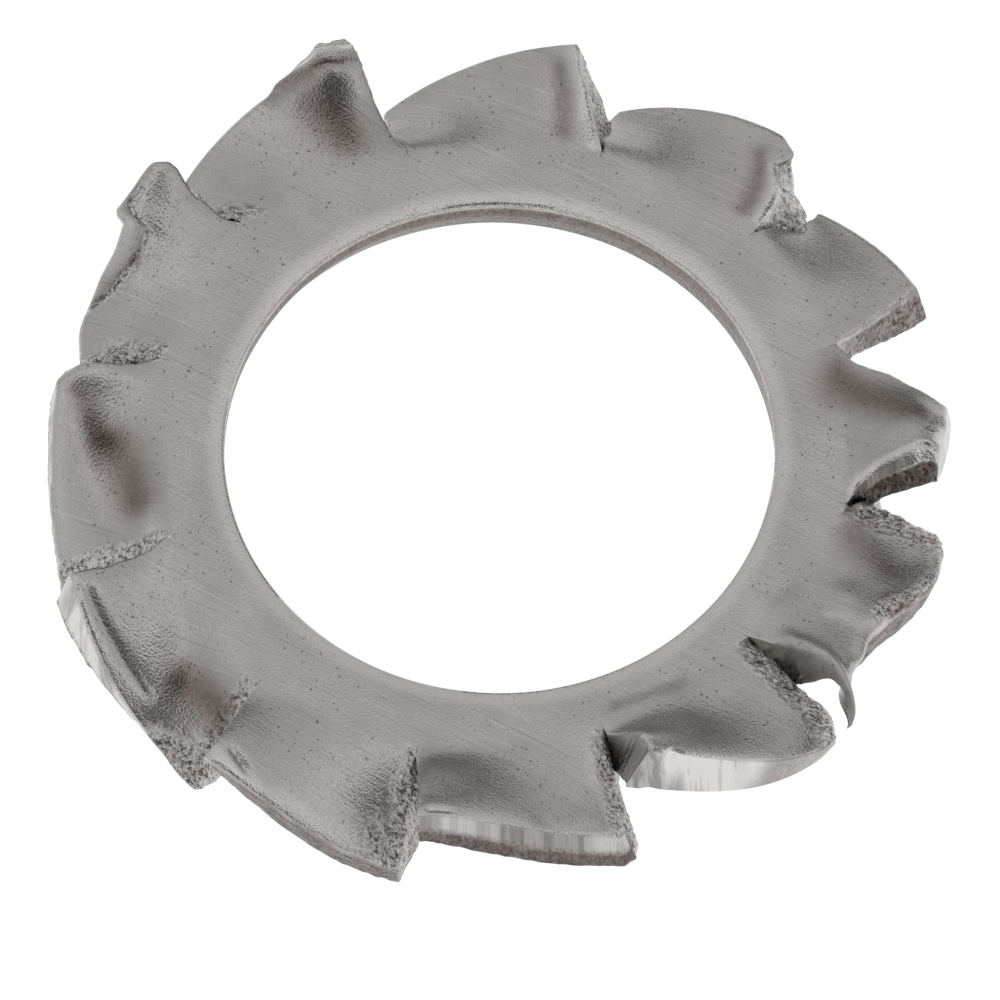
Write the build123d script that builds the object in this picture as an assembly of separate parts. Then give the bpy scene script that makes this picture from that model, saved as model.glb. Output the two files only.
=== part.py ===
"""Toothed lock washer for an M6 screw: one punched ring of spring sheet.

Twelve teeth stand round a flat ring. They are parted by plain shear cuts, and
each tooth is twisted like a fan blade, so its clockwise corner bites upward
and its counter-clockwise corner bites downward. The teeth are worn and bent
one by one, so every tooth has its own row of bends.

Frame: origin on the bore's axis at half the ring's thickness, +Z up through
the ring, angles counter-clockwise from +X seen from above.
"""
from build123d import *
from collections import namedtuple
from math import cos, radians, sin
import os

# ---- the flat ring ----------------------------------------------------------
SHEET = 0.70            # thickness of the strip
BORE_R = 3.25           # clearance hole for the screw
ROLL_WIDTH = 0.25       # how far the punched-in edge reaches over the ring
ROLL_DEPTH = 0.10       # how deep it is drawn in at the hole
TEAR_HEIGHT = 0.45      # height of the torn lower part of the wall
TEAR_OUT = 0.09         # the hole tears wider towards the lower face
TEAR_SHIFT = 0.09       # and the tear reaches further out on one side
TEAR_SIDE = 145         # the side on which it does so, degrees

# ---- the teeth before bending -----------------------------------------------
TIP_R = 5.38            # outer radius of the flat blank
CUT_OPEN = 0.60         # half opening of a shear cut at the root, degrees
SLOPE_OUT = 0.64        # counter-clockwise face slopes out going down, in sheets
SLOPE_BACK = 0.43       # clockwise face falls back going down, in sheets
NECK = 0.18             # share of the tooth's length kept in the ring's plane
NOSE = 0.33             # share of it kept straight behind the tip
SLOPE_START = 0.50      # share of the side slope reached at the neck
BOW_SHARE = 0.30        # how much of a side's hollow the next row follows

# shear cuts, degrees: each lies on the clockwise side of the tooth it names
CUTS = {
    "A": 105.5, "B": 73.0, "C": 43.7, "D": 19.0, "E": -10.5, "F": -41.0,
    "G": -72.0, "H": -103.5, "I": -132.0, "J": -163.0, "K": -196.5, "L": -224.5,
}

# where each cut ends, from the hole (0) to the blank's rim (1)
CUT_ENDS = {
    "A": 0.41, "B": 0.42, "C": 0.44, "D": 0.45, "E": 0.42, "F": 0.29,
    "G": 0.33, "H": 0.44, "I": 0.48, "J": 0.36, "K": 0.42, "L": 0.47,
}

# How each tooth is bent, seen at the middle of its tip. Its lengths are in sheets:
#   turn   pushed round the ring, degrees      drawn  in from the blank's radius
#   lift   above the flat sheet                twist  clockwise side up, degrees
#   tilt   nose up, degrees                    flare  extra tilt, cw over ccw side
#   yaw    swung in plan, degrees              cw, ccw  side trimmed, degrees
#   edge   tip past the round blank, from the cw to the ccw corner
#   bow    clockwise side hollowed, near the root and near the tip
Bend = namedtuple("Bend", "turn drawn lift twist tilt flare yaw cw ccw edge bow",
                  defaults=((0, 0, 0, 0), (0, 0)))
TEETH = {
    "A": Bend(0.0, 0.00, 0.16, 27, 19, 34, -5, 1.8, 1.5, (0.00, 0.07, 0.09, -0.03)),
    "B": Bend(1.9, 0.10, -0.26, 31, 11, 0, 1, 3.6, 0.8, (0.00, 0.03, 0.10, 0.00)),
    "C": Bend(2.0, 0.13, -0.36, 25, 4, -10, 1, 1.7, 0.8, (0.00, 0.10, 0.14, -0.07)),
    "D": Bend(0.6, 0.11, -0.41, 22, 6, -5, 6, 3, 0.8, (0.00, 0.04, 0.03, 0.00)),
    "E": Bend(-2.1, 0.17, 0.66, 30, 8, 0, -5, 9, 11.5),
    "F": Bend(0.8, 0.06, 0.20, 20, 6, 11, -3, -4.4, 0.8, (0.87, -0.97, -0.11, -0.06), (0.40, 0.60)),
    "G": Bend(0.3, 0.24, 0.63, 20, 10, 9, -25, 1.1, 2.0, (0.14, -0.07, 0.40, -0.20)),
    "H": Bend(0.8, 0.17, 0.47, 20, 3, -9, 3, 1.6, 1.5, (0.10, -0.30, 0.13, 0.19)),
    "I": Bend(1.8, 0.06, 0.04, 20, -13, -11, 7, 0.5, 0.5, (0.19, 0.06, 0.53, 0.49)),
    "J": Bend(1.2, 0.07, -0.43, 24, 3, 14, -6, 0.5, 0.8, (0.26, 0.27, 0.16, -0.04)),
    "K": Bend(0.0, 0.12, -0.57, 27, 3, 0, 0, 3.4, 3.5, (0.03, 0.00, 0.00, 0.07)),
    "L": Bend(2.3, 0.07, 0.10, 22, -8, 0, 8, 1.4, 0.5, (0.00, -0.09, 0.06, 0.04)),
}

STATIONS = 4            # control rows across a tooth and along it
RIGHT_ANGLE = 90
TOP = SHEET / 2
UP = Vector(0, 0, 1)


def around(radius, angle, z=0.0):
    """A point at a radius and an angle in degrees."""
    return Vector(radius * cos(radians(angle)), radius * sin(radians(angle)), z)


def turned(vector, out, side, bend, tilt):
    """Carry a direction of the flat tip into the bent one."""
    vector = vector.rotate(Axis((0, 0, 0), side), -tilt)
    vector = vector.rotate(Axis((0, 0, 0), out), -bend.twist)
    return vector.rotate(Axis.Z, bend.yaw)


def next_tooth(name):
    """The tooth on the counter-clockwise side."""
    return list(CUTS)[list(CUTS).index(name) - 1]


def cut_angles(name):
    """Angles of the cuts on the clockwise and counter-clockwise side."""
    clockwise, other = CUTS[name], CUTS[next_tooth(name)]
    return clockwise, other + 360 if other < clockwise else other


def root_corners(name):
    """The two ends of the straight line where a tooth leaves the ring."""
    low, high = cut_angles(name)
    inner, other = [BORE_R + (TIP_R - BORE_R) * CUT_ENDS[cut] for cut in (name, next_tooth(name))]
    return around(inner, low + CUT_OPEN, TOP), around(other, high - CUT_OPEN, TOP)


def upper_net(name):
    """Control points of a tooth's upper face, clockwise side first, root first."""
    bend = TEETH[name]
    low, high = cut_angles(name)
    middle = (low + high) / 2
    flat_out, flat_side = around(1, middle), around(1, middle + RIGHT_ANGLE)
    out, side = around(1, middle + bend.turn), around(1, middle + bend.turn + RIGHT_ANGLE)
    first, last = root_corners(name)
    start, end = low + bend.cw, high - bend.ccw
    step = (end - start) / (STATIONS - 1)
    nose = out * (TIP_R - bend.drawn * SHEET) + UP * (TOP + bend.lift * SHEET)
    rows = []
    for i in range(STATIONS):
        inner = 0 < i < STATIONS - 1
        radius = (TIP_R / cos(radians(step)) if inner else TIP_R) + bend.edge[i] * SHEET
        root = first + (last - first) * (i / (STATIONS - 1))
        tip = around(radius, start + i * step, TOP)
        run = tip - root
        tilt = bend.tilt + bend.flare * (0.5 - i / (STATIONS - 1))
        place = tip - around(TIP_R, middle, TOP)
        place = turned(out * place.dot(flat_out) + side * place.dot(flat_side), out, side, bend, bend.tilt)
        heading = turned(out * run.dot(flat_out) + side * run.dot(flat_side), out, side, bend, tilt)
        rows.append([root, root + run * NECK, nose + place - heading * NOSE, nose + place])
    for j, pull in enumerate(bend.bow, 1):
        rows[0][j] += side * (pull * SHEET)
        rows[1][j] += side * (pull * SHEET * BOW_SHARE)
    return rows


def lower_net(upper):
    """The same net one sheet thickness below, with the two sides sloped."""
    last = STATIONS - 1
    rows = [[None] * STATIONS for _ in range(STATIONS)]
    for i in range(STATIONS):
        for j in range(STATIONS):
            across = upper[min(i + 1, last)][j] - upper[max(i - 1, 0)][j]
            along = upper[i][min(j + 1, last)] - upper[i][max(j - 1, 0)]
            normal = along.cross(across).normalized() if j > 1 else UP
            rows[i][j] = upper[i][j] - normal * SHEET
    for j in range(1, STATIONS):
        share = SLOPE_START if j == 1 else 1.0
        rows[0][j] += (upper[1][j] - upper[0][j]).normalized() * (SLOPE_BACK * SHEET * share)
        rows[last][j] += (upper[last][j] - upper[last - 1][j]).normalized() * (SLOPE_OUT * SHEET * share)
    return rows


def tooth(name):
    """One bent tooth as a closed solid standing on the ring's edge."""
    upper = upper_net(name)
    lower = lower_net(upper)
    strip = list(zip(upper, lower))
    ends = [strip[0], strip[-1]]
    faces = [Face.make_bezier_surface(upper), Face.make_bezier_surface(lower)]
    faces += [Face.make_bezier_surface([list(top), list(low)]) for top, low in ends]
    faces.append(Face.make_bezier_surface([[row[-1] for row in upper], [row[-1] for row in lower]]))
    corners = [upper[0][0], upper[-1][0], lower[-1][0], lower[0][0]]
    faces.append(Face(Wire.make_polygon(corners, close=True)))
    return Solid(Shell(faces))


def ring():
    """Flat ring with straight sides for the teeth and the punched hole."""
    outline = []
    for name in CUTS:
        first, last = root_corners(name)
        outline += [(last.X, last.Y), (first.X, first.Y)]
    blank = extrude(Plane.XY.offset(-TOP) * make_face(Polyline(*outline, close=True)), SHEET)
    return blank - hole()


def hole():
    """Space the punch leaves: drawn-in upper edge, clean wall, torn lower edge."""
    wall = Polyline((0, TOP), (0, -TOP), (BORE_R, -TOP), (BORE_R, TOP - ROLL_DEPTH))
    roll = Spline((BORE_R, TOP - ROLL_DEPTH), (BORE_R + ROLL_WIDTH, TOP),
                  tangents=[(0, 1), (1, 0)])
    close = Line((BORE_R + ROLL_WIDTH, TOP), (0, TOP))
    profile = make_face(Plane.XZ * (wall + roll + close))
    widest = Plane.XY.offset(-TOP) * Pos(around(TEAR_SHIFT, TEAR_SIDE)) * Circle(BORE_R + TEAR_OUT)
    clean = Plane.XY.offset(TEAR_HEIGHT - TOP) * Circle(BORE_R)
    return revolve(profile, Axis.Z) + loft([widest, clean], ruled=True)


def washer():
    body = ring()
    for name in TEETH:
        body = body + tooth(name)
    return body


os.makedirs("parts", exist_ok=True)
export_step(washer(), "parts/lock_washer.step")
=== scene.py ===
# %% [markdown]
# # A toothed lock washer, one bent tooth at a time
#
# The part is one punched ring of spring sheet with a hole for an M6 screw.
# Twelve teeth stand round it, parted by shear cuts and twisted like fan
# blades. The plain solid of the model gets its worn surface here: ragged
# fracture faces, drawn-in edges, dents, burrs and the grain of rolled strip.
#
# The imported model is loaded first, as a fixed frame. Everything that follows
# is measured in it.

# %% Opening the shared frame
import bmesh
import bpy
from collections import namedtuple
from math import cos, exp, pi, radians, sin, sqrt
from mathutils import Matrix, Vector, noise


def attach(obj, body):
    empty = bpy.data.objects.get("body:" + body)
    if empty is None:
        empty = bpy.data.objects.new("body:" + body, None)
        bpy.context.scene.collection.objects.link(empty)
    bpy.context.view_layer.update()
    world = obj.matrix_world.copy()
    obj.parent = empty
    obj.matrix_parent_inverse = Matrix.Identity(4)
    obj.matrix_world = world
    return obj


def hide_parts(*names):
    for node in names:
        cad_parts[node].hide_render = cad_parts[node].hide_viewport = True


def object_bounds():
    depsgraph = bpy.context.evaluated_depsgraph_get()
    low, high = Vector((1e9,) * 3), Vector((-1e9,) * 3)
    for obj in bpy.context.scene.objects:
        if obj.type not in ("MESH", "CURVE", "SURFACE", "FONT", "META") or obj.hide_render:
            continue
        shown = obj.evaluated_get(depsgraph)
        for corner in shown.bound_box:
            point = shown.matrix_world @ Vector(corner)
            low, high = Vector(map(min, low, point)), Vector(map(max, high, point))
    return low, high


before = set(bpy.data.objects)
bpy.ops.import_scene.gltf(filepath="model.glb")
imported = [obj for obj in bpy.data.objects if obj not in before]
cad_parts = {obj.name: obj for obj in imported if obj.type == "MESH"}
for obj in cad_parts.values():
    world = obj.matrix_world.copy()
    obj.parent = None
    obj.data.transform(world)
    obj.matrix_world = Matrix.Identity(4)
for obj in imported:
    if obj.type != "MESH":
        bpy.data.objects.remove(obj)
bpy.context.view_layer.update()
MM = 0.001


# %% [markdown]
# ## The strip and the punch
#
# A press cuts the washer from cold-rolled strip. The punch draws the upper
# edge of the hole in, shears a clean wall, and tears the last part wider. A
# solid could be cut to this profile, but here it is simply how far each point
# of a flat sheet is moved. Lengths are in millimetres, as in the part's source.

# %% Sizes of the flat ring
SHEET = 0.70            # thickness of the strip
TOP = SHEET / 2         # the ring's upper face
BORE_R = 3.25           # clearance hole for the screw
ROLL_WIDTH = 0.28       # how far the drawn-in edge reaches over the ring
ROLL_DEPTH = 0.02       # how deep it sinks before the rim is rounded
TEAR_OUT = 0.09         # the hole tears wider towards the lower face
TEAR_HEIGHT = 0.45      # height of the torn part of the wall
TEAR_SHIFT = 0.09       # the tear reaches further out on one side
TEAR_SIDE = 145         # the side on which it does so, degrees
ROOT_R = 4.12           # about where the teeth begin
TIP_R = 5.38            # outer radius of the flat blank
print("hole", 2 * BORE_R, "blank", 2 * TIP_R, "strip", SHEET, "mm")

# %% [markdown]
# ## The shear cuts
#
# Twelve straight cuts part the teeth, and no metal is taken out. A cut lies
# on the clockwise side of the tooth that it names. Each ends where the shear
# stopped, at a slightly different radius, so the teeth bend from uneven roots.

# %% Where the sheet is cut
CUTS = {
    "A": 105.5, "B": 73.0, "C": 43.7, "D": 19.0, "E": -10.5, "F": -41.0,
    "G": -72.0, "H": -103.5, "I": -132.0, "J": -163.0, "K": -196.5, "L": -224.5,
}
CUT_END_R = {
    "A": 4.13, "B": 4.14, "C": 4.18, "D": 4.20, "E": 4.15, "F": 3.87,
    "G": 3.95, "H": 4.18, "I": 4.28, "J": 4.02, "K": 4.14, "L": 4.26,
}
CUT_OPEN = 0.05         # half opening of a cut at the root, degrees
NAMES = list(CUTS)
print(len(NAMES), "teeth")

# %% [markdown]
# ## How each tooth is bent
#
# A second tool twists every tooth, and use has bent them further, each in its
# own way. One row of numbers holds one tooth, seen at the middle of its tip,
# so that a single tooth can be corrected without touching its neighbours.

# %% Bends
# turn   pushed round the ring, degrees       reach  radius of the tip, mm
# lift   above the flat sheet, mm             twist  clockwise side up, degrees
# tilt   nose up, degrees                     flare  extra tilt, cw over ccw side
# yaw    swung in plan, degrees               cw, ccw  side trimmed, degrees
# edge   tip past the round blank, from the clockwise to the other corner, mm
# bow    clockwise side hollowed, near the root and near the tip, mm
Bend = namedtuple("Bend", "turn reach lift twist tilt flare yaw cw ccw edge bow",
                  defaults=((0, 0, 0, 0), (0, 0)))
TEETH = {
    "A": Bend(0.0, 5.38, 0.11, 27, 19, 34, -5, 1.8, 1.5, (0.00, 0.05, 0.06, -0.02)),
    "B": Bend(1.9, 5.31, -0.18, 31, 11, 0, 1, 3.6, 0.8, (0.00, 0.02, 0.07, 0.00)),
    "C": Bend(2.0, 5.29, -0.25, 25, 4, -10, 1, 1.7, 0.8, (0.00, 0.07, 0.10, -0.05)),
    "D": Bend(0.6, 5.30, -0.29, 22, 6, -5, 6, 3.0, 0.8, (0.00, 0.03, 0.02, 0.00)),
    "E": Bend(-2.1, 5.26, 0.46, 30, 8, 0, -5, 9.0, 11.5),
    "F": Bend(0.8, 5.34, 0.14, 20, 6, 11, -3, -4.4, 0.8, (0.61, -0.68, -0.08, -0.04), (0.28, 0.42)),
    "G": Bend(0.3, 5.21, 0.44, 20, 10, 9, -25, 1.1, 2.0, (0.10, -0.05, 0.28, -0.14)),
    "H": Bend(0.8, 5.26, 0.33, 20, 3, -9, 3, 1.6, 1.5, (0.07, -0.21, 0.09, 0.13)),
    "I": Bend(1.8, 5.34, 0.03, 20, -13, -11, 7, 0.5, 0.5, (0.13, 0.04, 0.37, 0.34)),
    "J": Bend(1.2, 5.33, -0.30, 24, 3, 14, -6, 0.5, 0.8, (0.18, 0.19, 0.11, -0.03)),
    "K": Bend(0.0, 5.30, -0.40, 27, 3, 0, 0, 3.4, 3.5, (0.02, 0.00, 0.00, 0.05)),
    "L": Bend(2.3, 5.33, 0.07, 22, -8, 0, 8, 1.4, 0.5, (0.00, -0.06, 0.04, 0.03)),
}
twists = [bend.twist for bend in TEETH.values()]
print("twists from", min(twists), "to", max(twists), "degrees")

# %% [markdown]
# ## Directions round a ring
#
# A tooth is easiest to describe by its own outward and sideways directions.
# These helpers give points round the ring and turn a direction of the flat
# blank into the bent one: first the tilt of the nose, then the twist, then
# the swing in plan. Angles run counter-clockwise, seen from above.

# %% Points, turns and cuts
UP = Vector((0, 0, 1))
QUARTER = 90            # degrees


def around(radius, angle, z=0.0):
    """A point at a radius and an angle in degrees."""
    return Vector((radius * cos(radians(angle)), radius * sin(radians(angle)), z))


def turned(vector, out, side, bend, tilt):
    """Carry a direction of the flat tip into the bent one."""
    vector = Matrix.Rotation(radians(-tilt), 3, side) @ vector
    vector = Matrix.Rotation(radians(-bend.twist), 3, out) @ vector
    return Matrix.Rotation(radians(bend.yaw), 3, UP) @ vector


def next_tooth(name):
    """The tooth on the counter-clockwise side."""
    return NAMES[NAMES.index(name) - 1]


def cut_angles(name):
    """Angles of the cuts on the clockwise and the other side of a tooth."""
    clockwise, other = CUTS[name], CUTS[next_tooth(name)]
    return clockwise, other + 360 if other < clockwise else other


def root_ends(name, opening, z=0.0):
    """The two ends of the straight line where a tooth leaves the ring."""
    low, high = cut_angles(name)
    first = around(CUT_END_R[name], low + opening, z)
    return first, around(CUT_END_R[next_tooth(name)], high - opening, z)


print("tooth A lies between the cuts at", cut_angles("A"), "degrees")

# %% [markdown]
# ## A net of points for the upper face
#
# A bent tooth is a smooth patch between its root and its tip. Sixteen control
# points hold it, four across by four along: two rows keep it level with the
# ring at the root, and two rows set where the tip lies and how it leans. The
# solid is made from nets of the same kind, so the two surfaces match.

# %% Upper net
STATIONS = 4            # control points across a tooth and along it
NECK = 0.18             # share of the tooth's length kept in the ring's plane
NOSE = 0.33             # share of it kept straight behind the tip
BOW_SHARE = 0.30        # how much of a side's hollow the next row follows


def upper_net(name):
    """Rows of control points, clockwise side first, each from root to tip."""
    bend = TEETH[name]
    low, high = cut_angles(name)
    middle = (low + high) / 2
    flat_out, flat_side = around(1, middle), around(1, middle + QUARTER)
    out, side = around(1, middle + bend.turn), around(1, middle + bend.turn + QUARTER)
    first, last = root_ends(name, CUT_OPEN, TOP)
    start, end = low + bend.cw, high - bend.ccw
    step = (end - start) / (STATIONS - 1)
    nose = out * bend.reach + UP * (TOP + bend.lift)
    rows = []
    for i in range(STATIONS):
        inner = 0 < i < STATIONS - 1
        radius = (TIP_R / cos(radians(step)) if inner else TIP_R) + bend.edge[i]
        root = first.lerp(last, i / (STATIONS - 1))
        tip = around(radius, start + i * step, TOP)
        run = tip - root
        tilt = bend.tilt + bend.flare * (0.5 - i / (STATIONS - 1))
        place = tip - around(TIP_R, middle, TOP)
        place = turned(out * place.dot(flat_out) + side * place.dot(flat_side), out, side, bend, bend.tilt)
        heading = turned(out * run.dot(flat_out) + side * run.dot(flat_side), out, side, bend, tilt)
        rows.append([root, root + run * NECK, nose + place - heading * NOSE, nose + place])
    for j, pull in enumerate(bend.bow, 1):
        rows[0][j] += side * pull
        rows[1][j] += side * (pull * BOW_SHARE)
    return rows


corner = upper_net("A")[0][-1]
print("clockwise corner of tooth A:", [round(value, 2) for value in corner], "mm")

# %% [markdown]
# ## The edges of each tooth
#
# A sheared face is rounded where the blade entered, burnished below that, and
# torn at the exit. How much of each differs from tooth to tooth, and the side
# faces slope, because the blades stood a little apart. One row holds one
# tooth, and the first values given are those of a plain, little-worn tooth.

# %% Edges
# back      clockwise face falls back going down, at three rows, mm
# out       the other side face slopes out going down, at three rows, mm
# tuck      outer face drawn back under the tooth, clockwise and other side, mm
# cw_roll   rounding of the clockwise edge: width and depth, mm
# tip_roll  rounding of the outer edge: width and depth, mm
# strip     rough strip beside the torn edge: width and depth, mm
# cw_break, tip_break  share of the wall that is burnished, above the tear
# dark      how dark the clockwise, outer and other wall is
Edges = namedtuple("Edges", "back out tuck cw_roll tip_roll strip cw_break tip_break dark",
                   defaults=((0.27, 0.30, 0.30), (0.40, 0.45, 0.45), (0.0, 0.0), (0.26, 0.06), (0.05, 0.01),
                             (0.04, 0.02), 0.35, 0.50, (0.0, 0.0, 0.0)))
EDGES = {
    "A": Edges(out=(0.15, 0.10, 0.10), cw_roll=(0.65, 0.20), dark=(0.0, 0.3, 0.1)),
    "B": Edges(back=(-0.50, 0.30, 0.30), out=(0.2, 0.2, 0.3), cw_roll=(0.06, 0.01), cw_break=0.05,
               dark=(0.0, 0.0, 0.2)),
    "C": Edges(back=(-0.50, -0.58, 1.10), out=(0.2, 0.2, 0.3), cw_roll=(0.10, 0.02), cw_break=0.05),
    "D": Edges(back=(0.15, 0.15, 0.15), out=(0.2, 0.2, 0.3), cw_roll=(0.10, 0.02), cw_break=0.10,
               dark=(0.65, 0.2, 0.2)),
    "E": Edges(back=(0.05, 0.12, 0.18), tuck=(0.18, 0.0), cw_roll=(0.26, 0.08), tip_roll=(0.32, 0.24),
               cw_break=0.30, tip_break=1.2, dark=(0.9, 0.0, 0.2)),
    "F": Edges(back=(-0.15, -0.12, 0.0), tuck=(0.05, 0.12), cw_roll=(0.06, 0.01), tip_roll=(0.20, 0.10),
               strip=(0.24, 0.10), cw_break=1.2, tip_break=0.0, dark=(0.0, 0.85, 0.0)),
    "G": Edges(back=(-0.20, -0.30, -0.12), tuck=(0.0, 0.12), cw_roll=(0.06, 0.02), tip_roll=(0.04, 0.01),
               strip=(0.26, 0.10), cw_break=1.2, tip_break=1.2),
    "H": Edges(out=(0.15, 0.42, 0.45), tip_roll=(0.04, 0.005), strip=(0.18, 0.06), tip_break=0.50,
               dark=(0.2, 0.8, 0.3)),
    "I": Edges(out=(0.40, 0.40, 0.20), tuck=(0.06, 0.04), strip=(0.20, 0.05), cw_break=0.6, tip_break=0.06,
               dark=(0.0, 0.9, 0.2)),
    "J": Edges(out=(0.40, 0.30, 0.10), tuck=(0.0, 0.20), strip=(0.20, 0.05), cw_break=0.8, tip_break=0.85,
               dark=(0.0, 0.2, 0.2)),
    "K": Edges(tip_roll=(0.40, 0.10), strip=(0.12, 0.03), dark=(0.0, 0.2, 0.3)),
    "L": Edges(tip_roll=(0.45, 0.10), strip=(0.10, 0.02), dark=(0.3, 0.2, 0.5)),
}
deepest = max(EDGES, key=lambda name: EDGES[name].tip_roll[1])
print("the outer edge is rounded most on tooth", deepest)

# %% [markdown]
# ## A net for the lower face
#
# Under a bent tooth lies the same patch, one thickness of strip further down
# and square to the upper face. Its sides are pushed along the tooth, because
# sheared walls lean, and its outer row is drawn back where a tip is tucked.
# Solidify would give an even thickness, but not walls that lean at will.

# %% Lower net
def lower_net(upper, edges):
    """The upper net one sheet lower, with leaning sides and a drawn-back tip."""
    last = STATIONS - 1
    rows = [[None] * STATIONS for _ in range(STATIONS)]
    for i in range(STATIONS):
        for j in range(STATIONS):
            across = upper[min(i + 1, last)][j] - upper[max(i - 1, 0)][j]
            along = upper[i][min(j + 1, last)] - upper[i][max(j - 1, 0)]
            normal = along.cross(across).normalized() if j > 1 else UP
            rows[i][j] = upper[i][j] - normal * SHEET
    for j in range(1, STATIONS):
        rows[0][j] += (upper[1][j] - upper[0][j]).normalized() * edges.back[j - 1]
        rows[last][j] += (upper[last][j] - upper[last - 1][j]).normalized() * edges.out[j - 1]
    for i in range(STATIONS):
        pull = edges.tuck[0] + (edges.tuck[1] - edges.tuck[0]) * i / last
        rows[i][last] -= (upper[i][last] - upper[i][last - 1]).normalized() * pull
    return rows


def both_nets(name):
    """A tooth's upper and lower net."""
    upper = upper_net(name)
    return upper, lower_net(upper, EDGES[name])


NETS = {name: both_nets(name) for name in NAMES}
heights = [corner.z for nets in NETS.values() for net in nets for row in net for corner in row]
print("nets reach from", round(min(heights), 2), "to", round(max(heights), 2), "mm in height")

# %% [markdown]
# ## Points on a net
#
# A point of the smooth patch is a mix of the sixteen control points. The
# shares are the cubic weights of any Bezier curve, used once across the tooth
# and once along it. Blender has surface patches of its own, but a function
# can be asked for any single point, and the wear is worked out point by point.

# %% Weights and surface points
def bernstein(x):
    """Shares of the four control points at a place from 0 to 1."""
    y = 1 - x
    return y * y * y, 3 * x * y * y, 3 * x * x * y, x * x * x


def on_net(net, across, along):
    """The point of the smooth patch at a place across and along the tooth."""
    point = Vector((0, 0, 0))
    lengthwise = bernstein(along)
    for wide, row in zip(bernstein(across), net):
        for share, corner in zip(lengthwise, row):
            point += corner * (wide * share)
    return point


for name in "AE":
    print("tooth", name, "has its clockwise corner at z", round(on_net(NETS[name][0], 0, 1).z, 2), "mm")

# %% [markdown]
# ## A flat comb of sheet
#
# The blank is laid out flat first, as it lies in the press. One tooth with its
# part of the ring is one grid, and every point of a grid gets a place across
# and along its tooth, from which the bending is worked out later. The rows and
# columns stand closer where wear is finest: at the cuts, the hole and the tips.

# %% Where the rows and columns lie
COLUMNS = 52            # faces across a tooth
RING_ROWS = 13          # faces from the hole to a tooth's root
TOOTH_ROWS = 30         # faces from the root to the tip
CUT_SPACING = 0.45      # spacing of the columns at the cuts, where 1 is even
HOLE_SPACING = 0.35     # spacing of the rows at the hole, where 1 is even
TIP_CROWDING = 0.35     # how much closer than at the root the rows stand at the tip
FLAT_GAP = 1            # degrees left open on each side of a flat tooth's tip
TINY = 1e-6


def column_place(share):
    """Place across a tooth, from 0 to 1, crowded at the cuts."""
    return share - (1 - CUT_SPACING) * sin(2 * pi * share) / (2 * pi)


def row_place(row):
    """Place along a tooth: -1 at the hole, 0 at its root, 1 at its tip."""
    if row <= RING_ROWS:
        x = row / RING_ROWS
        return -1 + x * (HOLE_SPACING + (1 - HOLE_SPACING) * x)
    x = (row - RING_ROWS) / TOOTH_ROWS
    return x * (1 + TIP_CROWDING - TIP_CROWDING * x)


def flat_place(name, across, along):
    """Where a point of the sheet lies before anything is bent."""
    low, high = cut_angles(name)
    first, last = root_ends(name, CUT_OPEN if along > -TINY else 0.0)
    root = first.lerp(last, across)
    if along <= 0:
        hole = around(BORE_R, low + (high - low) * across)
        return hole.lerp(root, 1 + along)
    tip = around(TIP_R, low + FLAT_GAP + (high - low - 2 * FLAT_GAP) * across)
    return root.lerp(tip, along)


print("first column is", round(column_place(1 / COLUMNS) * COLUMNS, 2), "of an even one")

# %% [markdown]
# ## Joining twelve grids
#
# The grids are joined round the hole by merging the points that coincide,
# while the cuts between the teeth stay open. Layers on the points hold what
# the bending needs, and the marks that the steel's finish will read: how torn
# the metal is, how dark it is painted, with stains and painted shade, how much
# lighter, with worn shine and painted highlights, and how much of a sheared wall.

# %% Laying out the comb
# the fifth mark darkens the finish with stains and painted shade, the last lightens it with worn shine and
# painted highlights
MARKS = ("across", "along", "deep", "torn", "shade_and_stain", "wall", "rim")
JOIN = 0.001            # points nearer to each other than this become one, mm


def comb_sheet():
    """Twelve flat grids joined round the hole, and the layers of their points."""
    bm = bmesh.new()
    tooth_tag = bm.verts.layers.int.new("tooth")
    tags = {word: bm.verts.layers.float.new(word) for word in MARKS}
    rows = RING_ROWS + TOOTH_ROWS
    for number, name in enumerate(NAMES):
        grid = bmesh.ops.create_grid(bm, x_segments=COLUMNS, y_segments=rows, size=0.5)
        for vert in grid["verts"]:
            across = column_place(round((vert.co.x + 0.5) * COLUMNS) / COLUMNS)
            along = row_place(round((vert.co.y + 0.5) * rows))
            vert[tooth_tag] = number
            vert[tags["across"]], vert[tags["along"]] = across, along
            vert.co = flat_place(name, across, along)
    bmesh.ops.remove_doubles(bm, verts=bm.verts[:], dist=JOIN)
    return bm, tooth_tag, tags


bm, tooth_tag, tags = comb_sheet()
print("flat sheet:", len(bm.verts), "points", len(bm.faces), "faces")

# %% [markdown]
# ## Thickness
#
# The sheet is extruded downwards in eleven layers, so that the walls of the
# teeth have rows of points of their own for burnished and torn metal. The
# layers are thin near both faces, where the rounded rims need them. Extruding
# the whole region at once leaves no walls inside and closes every cut.

# %% Layers of thickness
LAYERS = (0.04, 0.10, 0.19, 0.30, 0.42, 0.54, 0.66, 0.78, 0.90, 0.96, 1.0)


def thicken(bm, deep_tag):
    """Extrude the sheet down in layers, and note how deep each lies, in sheets."""
    grown = bm.faces[:] + bm.edges[:] + bm.verts[:]
    below = 0.0
    for depth in LAYERS:
        grown = bmesh.ops.extrude_face_region(bm, geom=grown)["geom"]
        fresh = [item for item in grown if isinstance(item, bmesh.types.BMVert)]
        for vert in fresh:
            vert[deep_tag] = depth
        bmesh.ops.translate(bm, verts=fresh, vec=(0, 0, -SHEET * (depth - below)))
        below = depth


thicken(bm, tags["deep"])
print("flat blank:", len(bm.verts), "points", len(bm.faces), "faces")

# %% [markdown]
# ## Rounded and drawn-in edges
#
# Two shapes of edge come back all over the washer. A rounded rim follows a
# quarter of an ellipse, and a drawn-in edge sinks slowly and ends steeply, as
# metal does in front of a punch. A Bevel modifier rounds evenly, but here each
# edge has its own width and depth, so the drop is worked out by distance.

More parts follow.
